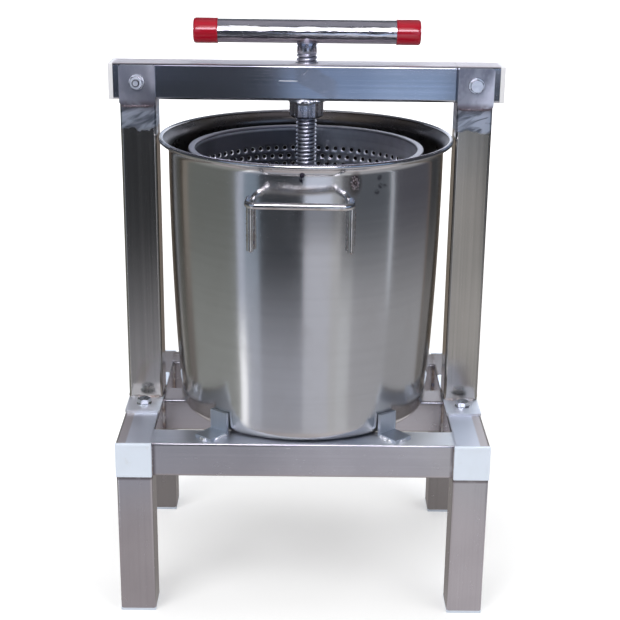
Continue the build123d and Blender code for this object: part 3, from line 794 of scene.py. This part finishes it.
def on_wall(across, radius, direction):
    """Where a leg touches a circle round the pot's axis, with the handles set a little askew."""
    x, y = across, direction * math.sqrt(radius**2 - across**2)
    return x * math.cos(skew) + y * math.sin(skew), y * math.cos(skew) - x * math.sin(skew)


seams, lumps = [], []
for direction in (-1, 1):
    for leg in (-leg_half, leg_half):
        for offset in (-0.0027, 0.0027):
            spot = on_wall(leg + offset, 0.1482, direction)
            seams.append(((*spot, leg_low + 0.001), (*spot, leg_high)))
        spot = on_wall(leg, 0.1490, direction)
        lumps.append(((*spot, leg_low - 0.0025), (*spot, leg_low + 0.0025)))
weld_row("handle_leg_welds", seams, 0.0026, weld_metal, "frame")
weld_row("handle_leg_lumps", lumps, 0.0058, weld_metal, "frame")

# Basket: a drum of perforated stainless sheet that stands in the pot and holds the comb. Its holes
# are punched in staggered rows, and a flat lip with round edges stiffens its top.


def extend(rise):
    """Extrude the picked edges upwards."""
    bpy.ops.mesh.extrude_edges_move(TRANSFORM_OT_translate={"value": (0.0, 0.0, rise)})


def out_of_drum(face):
    """How far a face of the drum looks straight out, from -1 to 1."""
    return face.normal.dot(Vector((face.center.x, face.center.y, 0.0)).normalized())


hole, row_pitch, holes_round, row_pairs = 0.0024, 0.0095, 76, 13
drum_radius, drum_wall, drum_foot, drum_top = 0.1215, 0.0015, 0.2015, 0.4865
hole_pitch = math.tau * drum_radius / holes_round
half, quarter, rise = hole_pitch / 2, hole_pitch / 4, row_pitch / 2
border = [(half, 0.0), (half, rise), (quarter, rise), (0.0, rise), (-quarter, rise), (-half, rise)]
border += [(-x, -y) for x, y in border]
drum = start_from(bpy.ops.mesh.primitive_circle_add, vertices=12, radius=hole, fill_type="NOTHING")
bpy.ops.object.mode_set(mode="EDIT")
extend(0.0)
bpy.ops.transform.resize(value=(1.5, 1.5, 1.0), center_override=(0.0, 0.0, 0.0))
bpy.ops.object.mode_set(mode="OBJECT")
for vertex in drum.data.vertices:
    if vertex.co.length > 1.2 * hole:
        vertex.co.xy = border[round(math.atan2(vertex.co.y, vertex.co.x) / (math.pi / 6)) % 12]
next_hole, next_row, next_pair = (hole_pitch, 0.0, 0.0), (half, row_pitch, 0.0), (0.0, 2 * row_pitch, 0.0)
for count, step in ((holes_round, next_hole), (2, next_row), (row_pairs, next_pair)):
    shape_by(drum, "ARRAY", count=count, use_relative_offset=False, use_constant_offset=True,
             constant_offset_displace=step)
last_row = 0.4635
first_row = last_row - (2 * row_pairs - 1) * row_pitch
for vertex in drum.data.vertices:
    bearing = math.tau * vertex.co.x / (holes_round * hole_pitch)
    vertex.co = (drum_radius * math.cos(bearing), drum_radius * math.sin(bearing), first_row + vertex.co.y)
band_top, band_low = last_row + rise, first_row - rise
bpy.ops.object.mode_set(mode="EDIT")
bpy.ops.mesh.select_all(action="SELECT")
bpy.ops.mesh.remove_doubles(threshold=0.00005)
for level, rim in ((band_top, drum_top), (band_low, drum_foot)):
    pick(drum, "VERT", lambda vertex: abs(vertex.co.z - level) < 0.00005)
    bpy.ops.mesh.select_mode(type="EDGE")
    extend(rim - level)
bpy.ops.mesh.select_all(action="SELECT")
bpy.ops.mesh.normals_make_consistent(inside=False)
bpy.ops.object.mode_set(mode="OBJECT")
outwards = sum(out_of_drum(face) for face in drum.data.polygons)
shape_by(drum, "SOLIDIFY", thickness=drum_wall, offset=-1.0 if outwards > 0 else 1.0)
bores = [face for face in drum.data.polygons if abs(out_of_drum(face)) < 0.5]
rims = {tuple(sorted(ends)) for face in bores for ends in face.edge_keys}
middle = drum_radius - drum_wall / 2


def on_inner_rim(edge):
    """Whether an edge goes round a hole on the drum's inner side."""
    points = [drum.data.vertices[end].co for end in edge.vertices]
    return (tuple(sorted(edge.vertices)) in rims and drum_foot + 0.001 < points[0].z < band_top
            and all(point.xy.length < middle for point in points))


pick(drum, "EDGE", on_inner_rim)
bpy.ops.mesh.bevel(offset=0.0006, segments=1, affect="EDGES")
smooth_under(60)

basket_steel, place = new_finish("basket_steel")
rolled = noise(place, (8.0, 8.0, 1200.0), 2.0)
bands = noise(place, (3.0, 3.0, 210.0), 3.0)
smears = ease(noise(place, 45.0, 5.0), 0.45, 0.72)
colour = blend(ease(bands, 0.35, 0.65), (0.80, 0.81, 0.85), (0.90, 0.91, 0.95))
colour = blend(0.25 * smears, colour, (0.50, 0.49, 0.49))
# Painted shade: below the lip, the basket is painted nearly black left of a line just right of the screw.
edge = axis_of(place, 0) + 0.05 * noise(place, 30.0, 4.0)
painted_shade_left = fade(edge, 0.030, 0.062) * fade(axis_of(place, 2), 0.4830, 0.4860)
colour = blend(0.90 * painted_shade_left, colour, (0.11, 0.11, 0.13))
apply_metal(place, 0.5 * rolled + 0.5 * bands, 0.00007, colour, 0.25 + 0.08 * bands + 0.08 * smears)
fit_out(drum, "basket_drum", basket_steel, "basket_steel", "frame", "basket_wall")
punched, place = new_finish("punched_edge")
burr = noise(place, 900.0, 3.0)
bright = blend(burr, (0.80, 0.81, 0.84), (0.95, 0.95, 0.97))
apply_metal(place, burr, 0.00008, bright, 0.26 + 0.16 * burr)
also_dress(drum, punched, lambda face: abs(out_of_drum(face)) < 0.9)
low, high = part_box("basket_lip")
lip_inside, lip_round, lip_edge = 0.1200, 0.0015, 0.0012
lip = lathe(arc((high.x - lip_round, (low.z + high.z) / 2), lip_round, -90, 90, 8)
            + arc((lip_inside + lip_edge, high.z - lip_edge), lip_edge, 90, 180, 5)
            + [(lip_inside, low.z)], 160, True)
# Painted light: the lip is a darker copy of the basket's steel, painted lighter towards the right.
lip_shaded_steel, place = new_finish("lip_shaded_steel")
scuffs = noise(place, 60.0, 4.0)
tone = blend(ease(axis_of(place, 0) + 0.05 * scuffs, -0.02, 0.12), (0.31, 0.29, 0.32), (0.48, 0.47, 0.50))
apply_metal(place, scuffs, 0.00004, tone, 0.26 + 0.14 * scuffs)
fit_out(lip, "basket_lip_ring", lip_shaded_steel, "basket_steel", "frame", "basket_lip")
dress(basket_steel, "basket_floor")

# Press plate: a thick turned disc with a welded swivel socket and four ribs, hung on the screw's
# end by two retaining screws. It is plain machined stainless, scratched by use.
plate_steel, place = new_finish("plate_steel")
turned = noise(place, 500.0, 3.0)
scratches = ease(noise(place, (40.0, 700.0, 40.0), 4.0), 0.58, 0.72)
tone = blend(noise(place, 18.0, 4.0), (0.46, 0.46, 0.47), (0.62, 0.62, 0.63))
apply_metal(place, turned + scratches, 0.00006, tone, 0.28 + 0.12 * turned + 0.12 * scratches)
dress(plate_steel, "press_plate", "swivel_socket", "plate_ribs")
dress(zinc["foot"], "socket_screws")

# Screw: a right-hand machine-cut thread with a smooth neck at its top and a turned journal at its
# foot. Its crests are bright from the nut. Its roots are dark with grease and painted shade, and
# the top of its neck is dark with heat tint from the weld and painted shade under the handle.
pitch, crest_radius, thread_low, thread_high = 0.004233, 0.0111, 0.2695, 0.5909
root_radius = crest_radius - pitch / 2
turns = round((thread_high - thread_low) / pitch)
shares = [step / 8 for step in range(9)]
ridge_depth = crest_radius - root_radius
ridge = [(root_radius + ridge_depth * math.sin(math.pi * share) ** 0.55, pitch * (0.1 + 0.8 * share))
         for share in shares]
ridge = [(root_radius, 0.0), *ridge, (root_radius, pitch)]
lowest = thread_high - turns * pitch
thread = draw([(radius, lowest + height) for radius, height in ridge])
bpy.ops.object.mode_set(mode="OBJECT")
shape_by(thread, "SCREW", axis="Z", angle=math.tau, screw_offset=pitch, iterations=turns - 1,
         steps=36, render_steps=36, use_merge_vertices=True)
bpy.ops.object.mode_set(mode="EDIT")
heal()
bpy.ops.mesh.fill_holes(sides=0)
bpy.ops.object.mode_set(mode="OBJECT")
for vertex in thread.data.vertices:
    radius = vertex.co.xy.length
    below, above = vertex.co.z - lowest, thread_high - vertex.co.z
    run_out = min(1.0, max(0.0, below / pitch), max(0.0, above / (0.8 * pitch)))
    vertex.co.xy *= (root_radius + (radius - root_radius) * run_out) / radius
smooth_under(35)
low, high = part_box("spindle")
neck_radius, journal, groove, core = 0.0106, 0.00798, 0.0062, root_radius - 0.00005
groove_low, groove_high, mark_low, mark_high, neck_top = 0.2492, 0.2558, 0.5958, 0.5976, 0.6075
neck_section = [(0.0, low.z), (journal - 0.0006, low.z), (journal, low.z + 0.0006),
                (journal, groove_low), (groove, groove_low), (groove, groove_high), (journal, groove_high),
                (journal, thread_low - 0.0004), (core, thread_low), (core, thread_high - 0.9 * pitch),
                (neck_radius - 0.0004, thread_high - 0.45 * pitch), (neck_radius, thread_high - 0.3 * pitch),
                (neck_radius, mark_low), (neck_radius - 0.0005, mark_low + 0.0005),
                (neck_radius - 0.0005, mark_high - 0.0005), (neck_radius, mark_high),
                (neck_radius, neck_top - 0.0015), (neck_radius - 0.001, neck_top), (0.0, neck_top)]
thread = joined([thread, lathe(neck_section, 48, False)])
thread_steel, place = new_finish("thread_steel")
flat = place.node("Mapping", None, {"Vector": place, "Scale": (1.0, 1.0, 0.0)})
from_axis = place.node("VectorMath", {"operation": "LENGTH"}, {0: flat}, "Value")
# Painted shade in the thread's roots, over their grease.
grease_and_shade = fade(from_axis + 0.0006 * noise(place, 350.0, 2.0), 0.0096, 0.0108)
turned = noise(place, (40.0, 40.0, 1500.0), 2.0)
rubbed = noise(place, (60.0, 60.0, 25.0), 3.0)
colour = blend(rubbed, (0.58, 0.59, 0.66), (0.74, 0.75, 0.82))
colour = blend(0.72 * grease_and_shade, colour, (0.07, 0.07, 0.09))
height = axis_of(place, 2)
smooth_neck = ease(height, 0.5912, 0.5922)
colour = blend(0.5 * smooth_neck, colour, (0.30, 0.30, 0.34))
# Heat tint from the weld and painted shade under the handle: the top of the neck is painted nearly black.
scorch_and_shade = ease(height + 0.003 * rubbed, 0.6000, 0.6040)
colour = blend(0.88 * scorch_and_shade, colour, (0.11, 0.10, 0.12))
roughness = 0.24 + 0.10 * rubbed + 0.10 * grease_and_shade + 0.26 * scorch_and_shade - 0.12 * smooth_neck
apply_metal(place, turned, 0.00003, colour, roughness)
fit_out(thread, "screw_thread", thread_steel, "screw_steel", "screw", "spindle")

# Handle: a length of polished tube welded across the neck, with a bead round the saddle joint and
# glossy red vinyl caps pushed on its ends.
low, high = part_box("handle_tube")
handle_z, handle_radius = (low.z + high.z) / 2, (high.z - low.z) / 2
handle_steel, place = new_finish("handle_steel")
hair, streak = belt_grain(place, 0)
waves = noise(place, (34.0, 150.0, 150.0), 3.0)
colour = blend(ease(0.4 * streak + 0.6 * waves, 0.36, 0.64), (0.60, 0.60, 0.63), (0.72, 0.71, 0.74))
# Painted shade: the underside of the tube is painted dark.
underside_shade = fade(axis_of(place, 2) + 0.003 * waves, handle_z - 0.0050, handle_z - 0.0020)
colour = blend(0.75 * underside_shade, colour, (0.17, 0.15, 0.17))
roughness = 0.10 + 0.05 * streak + 0.03 * hair + 0.10 * underside_shade
apply_metal(place, 0.01 * hair + 0.02 * streak + waves, 0.0006, colour, roughness)
dress(handle_steel, "handle_tube")
saddle = start_from(bpy.ops.mesh.primitive_torus_add, major_radius=neck_radius - 0.0010, minor_radius=0.0011,
                    major_segments=110, minor_segments=8)
for vertex in saddle.data.vertices:
    bearing = math.atan2(vertex.co.y, vertex.co.x)
    side_reach = min(neck_radius * abs(math.sin(bearing)), 0.98 * handle_radius)
    swell = 1 + 0.03 * math.cos(36 * bearing) + 0.03 * math.sin(5 * bearing)
    vertex.co.x *= swell
    vertex.co.y = max(-handle_radius, min(handle_radius, vertex.co.y * swell))
    vertex.co.z = vertex.co.z * swell + handle_z - math.sqrt(handle_radius**2 - side_reach**2) - 0.0004
bpy.ops.object.shade_smooth()
fit_out(saddle, "handle_saddle_weld", dark_weld, "frame_steel", "screw")

red_vinyl, place = new_finish("red_vinyl")
skin = noise(place, 900.0, 3.0)
worn = ease(noise(place, 70.0, 4.0), 0.5, 0.75)
red = blend(0.4 * worn, (0.40, 0.004, 0.019), (0.34, 0.005, 0.018))
off_axis = axis_of(place, 2) - handle_z
# Painted shade: the top and bottom of the red caps are painted darker.
red = blend(0.60 * ease(abs(off_axis), 0.0080, 0.0128), red, (0.14, 0.001, 0.007))
gloss = ease(off_axis, -0.0060, -0.0020) * fade(off_axis, 0.0068, 0.0095)
apply_finish(place, skin, 0.00002,
             {"Base Color": red, "Roughness": 0.30 + 0.1 * worn, "Specular IOR Level": 0.15,
              "Coat Weight": 0.25 + 0.70 * gloss, "Coat Roughness": 0.08, "Coat IOR": 1.6})
low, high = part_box("handle_grip_right")
grip_radius, grip_length, sleeve = (high.z - low.z) / 2, high.x - low.x, handle_radius + 0.00005
skirt, shoulder, dome = grip_radius - 0.0002, grip_length - 0.0034, grip_length - 0.00105
profile = [(sleeve, 0.0), (grip_radius - 0.0007, 0.0)]
profile += arc((grip_radius - 0.0006, 0.0008), 0.0006, -70, 60, 4)
profile += [(grip_radius - 0.0003, 0.0030), (skirt, 0.0100), (skirt, shoulder)]
profile += arc((grip_radius - 0.0032, shoulder), 0.0030, 0, 80, 7)
profile += [(0.0065, grip_length - 0.00015), (0.0030, grip_length), (0.0, grip_length)]
profile += [(0.0, dome), (sleeve - 0.0012, dome), (sleeve, grip_length - 0.0021)]
grip_master = lathe(profile, 64, True)
for side, tilt, seat in (("left", -90, -low.x), ("right", 90, low.x)):
    grip = copy_to(grip_master, (0, tilt, 0), (seat, 0.0, handle_z))
    fit_out(grip, f"grip_{side}", red_vinyl, "red_vinyl", "screw", f"handle_grip_{side}")
bpy.data.objects.remove(grip_master)

# Studio: a white floor that keeps the shadow, soft boxes, and standing panels that only reflections
# see. The panels give the bare steel something dark, pale and warm to mirror.


def glow(name, axis, ends, first, last):
    """A material that only shines, without lighting the scene, from one tone to another along an axis."""
    material, place = new_finish(f"panel_{name}")
    tone = blend(ease(axis_of(place, axis), *ends), first, last)
    place.node("OutputMaterial", None, {"Surface": place.node("Emission", None, {"Color": tone})})
    material.cycles.emission_sampling = "NONE"
    return material


def set_up(panel, name, *glows):
    """Name a panel, give it its glows, and show it in reflections and nowhere else."""
    panel.name = f"panel_{name}"
    for material in glows:
        panel.data.materials.append(material)
    panel.visible_camera = panel.visible_diffuse = panel.visible_shadow = False
    panel.visible_transmission = panel.visible_volume_scatter = False


def bearing_of(face):
    """Where a panel's face stands round the object, in degrees: 0 in front, and positive to the right."""
    return math.degrees(math.atan2(face.center.x, -face.center.y))


def seen_directly(wire):
    """1 for what the camera sees, also in a mirror or through glass, and 0 for what only gives light."""
    camera_ray, glossy_ray, clear_ray = [wire.node("LightPath", out=f"Is {kind} Ray")
                                         for kind in ("Camera", "Glossy", "Transmission")]
    return camera_ray + glossy_ray + clear_ray


floor = start_from(bpy.ops.mesh.primitive_plane_add, size=60.0)
floor.name = "floor"
floor_white, place = new_finish("floor_white")
lift = seen_directly(place) * (0.36 + 0.64 * ease(from_point(place, (0.0, 0.0, 0.0)), 0.7, 2.6))
matt = place.node("BsdfDiffuse", None, {"Color": (0.80, 0.80, 0.80)})
shine = place.node("Emission", None, {"Color": (1.0, 1.0, 1.0), "Strength": lift})
both = place.node("AddShader", None, {0: matt, 1: shine})
place.node("OutputMaterial", None, {"Surface": both})
floor.data.materials.append(floor_white)

panels = [(-150, "rear_left", (0.39, 0.43), (0.20, 0.17, 0.15), (0.38, 0.43, 0.64)),
          (-111, "brown", (0.0, 0.36), (0.20, 0.18, 0.17), (0.06, 0.05, 0.04)),
          (-103, "sand", (0.0, 0.36), (0.19, 0.17, 0.16), (0.28, 0.25, 0.22)),
          (-52, "olive", (0.0, 0.36), (0.34, 0.35, 0.34), (0.18, 0.19, 0.18)),
          (-46, "pale", (0.05, 0.19), (1.50, 1.51, 1.57), (0.58, 0.62, 0.74)),
          (-34, "slate", (0.0, 0.36), (0.54, 0.56, 0.64), (0.26, 0.32, 0.40)),
          (-1, "dark", (0.0, 0.28), (0.43, 0.44, 0.50), (0.055, 0.06, 0.07)),
          (19, "bright", (0.30, 0.38), (0.60, 0.61, 0.68), (0.85, 0.93, 1.12)),
          (26, "ash", (0.32, 0.37), (0.58, 0.58, 0.60), (0.44, 0.46, 0.50)),
          (36, "grey", (0.13, 0.33), (0.63, 0.64, 0.67), (0.12, 0.12, 0.13)),
          (66, "coal", (0.12, 0.34), (0.46, 0.46, 0.49), (0.11, 0.12, 0.14)),
          (69, "strip", (0.12, 0.22), (0.46, 0.46, 0.49), (0.72, 0.76, 0.84)),
          (112, "iron", (0.1, 0.34), (0.41, 0.41, 0.43), (0.10, 0.10, 0.12)),
          (150, "umber", (0.0, 0.36), (0.22, 0.19, 0.16), (0.15, 0.12, 0.11)),
          (180, "rear_right", (0.39, 0.43), (0.22, 0.19, 0.16), (0.51, 0.58, 0.80))]
panel_far = 0.62
ring = start_from(bpy.ops.mesh.primitive_cylinder_add, vertices=360, radius=panel_far, depth=0.43,
                  end_fill_type="NOTHING", location=(0.0, 0.0, 0.215))
pick_edges(ring, lambda low, high: high < 0.001)
extend(0.0006)
bpy.ops.transform.resize(value=(0.75, 0.75, 1.0), center_override=(0.0, 0.0, 0.0))
bpy.ops.object.mode_set(mode="OBJECT")
set_up(ring, "ring", *[glow(name, 2, *tones) for last, name, *tones in panels])
for face in ring.data.polygons:
    face.material_index = next(index for index, panel in enumerate(panels) if bearing_of(face) <= panel[0])

crown = start_from(bpy.ops.mesh.primitive_cylinder_add, vertices=120, radius=panel_far, depth=0.07,
                   end_fill_type="NOTHING", location=(0.0, 0.0, 0.465))
pick_edges(crown, lambda low, high: low > 0.49)
for rise in (0.025, 0.215, 0.90):
    extend(rise)
bpy.ops.mesh.edge_face_add()
bpy.ops.object.mode_set(mode="OBJECT")
crown_glows = {"night": (2, (0.5, 1.6), (0.05, 0.055, 0.07), (0.12, 0.12, 0.14)),
               "blue": (0, (-0.2, 0.2), (0.33, 0.42, 0.63), (0.43, 0.60, 0.93)),
               "rose": (0, (-0.2, 0.2), (0.42, 0.36, 0.34), (0.58, 0.53, 0.53)),
               "window": (0, (-0.2, 0.2), (0.55, 0.60, 0.74), (1.10, 1.15, 1.30)),
               "column": (0, (-0.2, 0.1), (0.22, 0.22, 0.26), (0.62, 0.60, 0.68)),
               "lilac": (1, (-0.3, 0.3), (0.27, 0.27, 0.32), (0.25, 0.24, 0.29))}
set_up(crown, "crown", *[glow(name, *tones) for name, tones in crown_glows.items()])
for face in crown.data.polygons:
    bearing, height = bearing_of(face), face.center.z
    look = "night"
    if abs(face.normal.z) > 0.9:
        look = "lilac"
    elif height < 0.74 and abs(bearing) > 130:
        look = "rose" if height < 0.50 else "window"
    elif 0.50 < height < 0.525 and (-7 < bearing < 50 or -74 < bearing < -31):
        look = "column"
    elif height < 0.50 and -3 < bearing < 22 or 0.525 < height < 0.74 and 18 < abs(bearing) < 60:
        look = "blue"
    face.material_index = list(crown_glows).index(look)

standing = (math.radians(90), 0.0, 0.0)
soft_box = start_from(bpy.ops.mesh.primitive_plane_add, (0.9, 0.5, 1.0), size=1.0,
                      location=(0.0, -0.58, 1.0), rotation=standing)
set_up(soft_box, "soft_box", glow("white", 2, (0.74, 0.90), (1.2, 1.2, 1.25), (1.7, 1.7, 1.75)))
light_tube = start_from(bpy.ops.mesh.primitive_plane_add, (0.9, 0.20, 1.0), size=1.0,
                        location=(0.0, -0.575, 0.85), rotation=standing)
set_up(light_tube, "light_tube", glow("tube", 2, (0.75, 0.82), (6.0, 5.8, 6.6), (10.0, 9.6, 11.0)))
mat = start_from(bpy.ops.mesh.primitive_circle_add, vertices=96, radius=0.47, fill_type="NGON",
                 location=(0.0, 0.0, 0.0004))
set_up(mat, "mat", glow("mat_grey", 0, (-0.22, 0.22), (0.49, 0.45, 0.46), (0.67, 0.63, 0.65)))
shade = start_from(bpy.ops.mesh.primitive_plane_add, size=0.44, location=(0.0, 0.09, 0.0008))
set_up(shade, "shade", glow("shade_olive", 1, (-0.13, -0.05), (0.36, 0.34, 0.33), (0.28, 0.26, 0.25)))

white = (1.0, 1.0, 1.0)
lamps = [("key_box", (-1.2, -1.7, 2.3), 1.5, 34.0, white), ("fill_box", (1.7, -1.3, 1.5), 1.6, 14.0, white),
         ("top_box", (0.2, 0.4, 2.6), 1.8, 26.0, white),
         ("back_box", (0.4, 1.7, 1.25), 1.8, 72.0, (0.72, 0.85, 1.0))]
for name, place_at, size, power, tint in lamps:
    lamp = bpy.data.lights.new(name, "AREA")
    lamp.size = size
    lamp.energy = power
    lamp.color = tint
    box = bpy.data.objects.new(name, lamp)
    box.location = place_at
    box.rotation_euler = (Vector((0.0, 0.0, 0.3)) - Vector(place_at)).to_track_quat("-Z", "Y").to_euler()
    box.visible_diffuse = name != "back_box"
    box.visible_glossy = name != "fill_box"
    bpy.context.scene.collection.objects.link(box)

world = bpy.data.worlds.new("studio")
world.use_nodes = True
world.node_tree.nodes.clear()
sky = Wire(world.node_tree)
lift = 0.45 + 0.55 * seen_directly(sky)
background = sky.node("Background", None, {"Color": white, "Strength": lift})
sky.node("OutputWorld", None, {"Surface": background})
bpy.context.scene.world = world
bpy.context.scene.view_settings.view_transform = "Standard"

# Camera: where the photograph was taken from, in front of the screw and a little above the handle.
# It looks down on the pot through a fairly long lens.
lens = bpy.data.cameras.new("camera")
lens.sensor_width = 36.0
lens.lens = 77.475
camera = bpy.data.objects.new("camera", lens)
camera.location = (-0.00144, -1.42505, 0.77740)
camera.rotation_euler = [math.radians(angle) for angle in (71.5685, -0.6512, -0.0995)]
bpy.context.scene.collection.objects.link(camera)
bpy.context.scene.camera = camera
